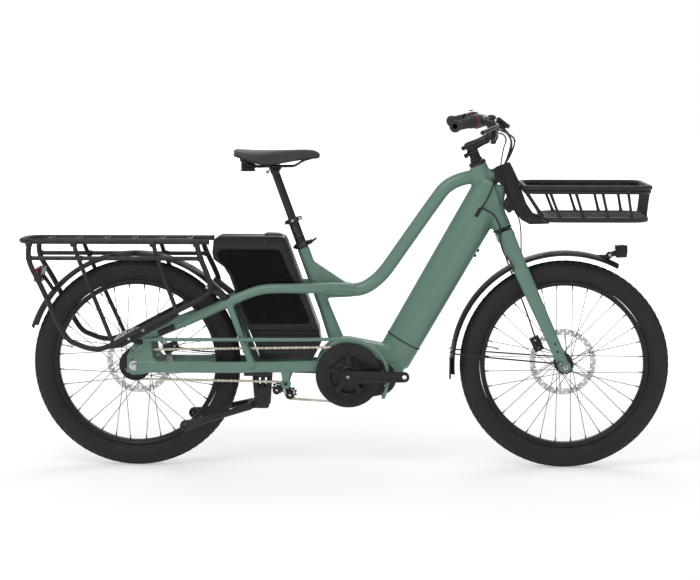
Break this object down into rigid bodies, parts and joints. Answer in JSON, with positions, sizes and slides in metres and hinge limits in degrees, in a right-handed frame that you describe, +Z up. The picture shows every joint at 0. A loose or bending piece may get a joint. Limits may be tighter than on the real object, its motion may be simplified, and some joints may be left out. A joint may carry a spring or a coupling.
{
  "type": "cargo bicycle",
  "caption": "Electric cargo bicycle with a low step-through frame, mid motor, battery behind the seat tube, long rear rack with side loops, and a frame-mounted front basket.",
  "frame": {"origin": "centre of the bounding box at floor level, under the bottom of the seat tube", "axes": "+X forwards along the wheelbase, +Y to the rider's left, +Z up"},
  "size_m": [1.9683, 0.6854, 1.0819],
  "materials": {
    "sage_paint": "satin sage green paint",
    "black_coat": "satin black powder coat",
    "rubber": "matt",
    "tyre": "matt tread",
    "black_alloy": "black anodised",
    "steel": "brushed",
    "plastic": "fine texture",
    "saddle_skin": "synthetic cover",
    "red_lens": "moulded lens"
  },
  "bodies": {
    "frame_body": {"head_tube": "sage_paint", "top_tube": "sage_paint", "down_tube": "sage_paint", "seat_tube": "sage_paint", "motor": "black_coat", "upper_stay_left": "sage_paint", "upper_stay_right": "sage_paint", "chainstay_left": "sage_paint", "chainstay_right": "sage_paint", "chain": "steel", "rear_axle": "steel", "stand_mount": "black_coat", "seat_clamp": "black_alloy", "battery_dock": "plastic", "rack_deck": "black_coat", "rack_loop_left": "black_coat", "rack_loop_right": "black_coat", "rear_fender": "black_coat", "rear_light": "red_lens", "basket": "black_coat", "basket_bracket": "black_coat", "chain_guard_rod": "sage_paint", "rear_caliper": "black_coat", "cable_bar": "rubber", "cable_fork": "rubber"},
    "steering_body": {"fork": "sage_paint", "front_axle": "steel", "front_caliper": "black_coat", "stem": "black_alloy", "handlebar": "black_alloy", "grip_left": "rubber", "grip_right": "rubber", "lever_body_left": "black_coat", "lever_body_right": "black_coat", "display": "plastic", "bell": "black_coat", "front_fender": "black_coat"},
    "front_wheel_body": {"front_tyre": "tyre", "front_wheel": "black_alloy", "front_rotor": "steel"},
    "rear_wheel_body": {"rear_tyre": "tyre", "rear_wheel": "black_alloy", "rear_rotor": "steel"},
    "crank_body": {"crank_left": "black_alloy", "crank_right": "black_alloy", "chainring": "black_alloy"},
    "cog_body": {"rear_cog": "steel"},
    "tensioner_body": {"tensioner_arm": "black_alloy"},
    "pulley_rear_body": {"tensioner_pulley_rear": "plastic"},
    "pulley_front_body": {"tensioner_pulley_front": "plastic"},
    "stand_body": {"centre_stand": "black_coat"},
    "post_lower_body": {"seatpost_lower": "black_alloy"},
    "post_upper_body": {"seatpost_upper": "black_alloy", "saddle": "saddle_skin"},
    "battery_body": {"battery": "plastic"},
    "lamp_body": {"headlight": "black_coat"},
    "shifter_body": {"twist_shifter": "rubber"},
    "button_body": {"assist_button": "plastic"},
    "lever_left_body": {"brake_lever_left": "black_alloy"},
    "lever_right_body": {"brake_lever_right": "black_alloy"}
  },
  "joints": [
    {"name": "steering", "type": "hinge", "parent": "frame_body", "child": "steering_body", "pos_m": [0.4772, 0, 0.7308], "axis": [-0.36, 0, 0.933], "range_deg": [-45, 45], "deforming": ["cable_bar", "cable_fork"]},
    {"name": "front_wheel_spin", "type": "hinge", "parent": "steering_body", "child": "front_wheel_body", "pos_m": [0.668, 0, 0.3165], "axis": [0, 1, 0], "continuous": true},
    {"name": "rear_wheel_spin", "type": "hinge", "parent": "frame_body", "child": "rear_wheel_body", "pos_m": [-0.632, 0, 0.3165], "axis": [0, 1, 0], "continuous": true},
    {"name": "crank_spin", "type": "hinge", "parent": "frame_body", "child": "crank_body", "pos_m": [0.0148, 0, 0.2872], "axis": [0, 1, 0], "continuous": true},
    {"name": "cog_spin", "type": "hinge", "parent": "frame_body", "child": "cog_body", "pos_m": [-0.632, 0, 0.3165], "axis": [0, 1, 0], "continuous": true},
    {"name": "tensioner_swing", "type": "hinge", "parent": "frame_body", "child": "tensioner_body", "pos_m": [-0.1717, -0.043, 0.2764], "axis": [0, 1, 0], "range_deg": [-12, 12], "stiffness_Nm_per_rad": 1.5, "deforming": ["chain"]},
    {"name": "pulley_rear_spin", "type": "hinge", "parent": "tensioner_body", "child": "pulley_rear_body", "pos_m": [-0.199, -0.05, 0.2465], "axis": [0, 1, 0], "continuous": true},
    {"name": "pulley_front_spin", "type": "hinge", "parent": "tensioner_body", "child": "pulley_front_body", "pos_m": [-0.1595, -0.05, 0.2319], "axis": [0, 1, 0], "continuous": true},
    {"name": "stand_swing", "type": "hinge", "parent": "frame_body", "child": "stand_body", "pos_m": [-0.2453, 0, 0.1986], "axis": [0, -1, 0], "range_deg": [0, 100]},
    {"name": "post_slide", "type": "slide", "parent": "frame_body", "child": "post_lower_body", "axis": [-0.342, 0, 0.9397], "range_m": [-0.06, 0.05]},
    {"name": "upper_post_slide", "type": "slide", "parent": "post_lower_body", "child": "post_upper_body", "axis": [-0.342, 0, 0.9397], "range_m": [-0.06, 0.02]},
    {"name": "battery_lift", "type": "slide", "parent": "frame_body", "child": "battery_body", "axis": [-0.342, 0, 0.9397], "range_m": [0, 0.12]},
    {"name": "lamp_tilt", "type": "hinge", "parent": "steering_body", "child": "lamp_body", "pos_m": [0.802, 0, 0.65], "axis": [0, 1, 0], "range_deg": [-15, 15]},
    {"name": "shifter_twist", "type": "hinge", "parent": "steering_body", "child": "shifter_body", "pos_m": [0.37734, -0.24015, 1.0548], "axis": [-0.4665, -0.8789, -0.1001], "range_deg": [-35, 35]},
    {"name": "assist_press", "type": "slide", "parent": "steering_body", "child": "button_body", "axis": [0, 0, -1], "range_m": [0, 0.0012], "stiffness_N_per_m": 300},
    {"name": "brake_left", "type": "hinge", "parent": "steering_body", "child": "lever_left_body", "pos_m": [0.449, 0.205, 1.0458], "axis": [0, 0, 1], "range_deg": [0, 18], "stiffness_Nm_per_rad": 0.8},
    {"name": "brake_right", "type": "hinge", "parent": "steering_body", "child": "lever_right_body", "pos_m": [0.449, -0.205, 1.0458], "axis": [0, 0, -1], "range_deg": [0, 18], "stiffness_Nm_per_rad": 0.8}
  ],
  "couplings": [
    {"joint": "cog_spin", "follows": "crank_spin", "ratio": 1.9091},
    {"joint": "pulley_rear_spin", "follows": "crank_spin", "ratio": -4.6667},
    {"joint": "pulley_front_spin", "follows": "crank_spin", "ratio": 4.6667}
  ]
}
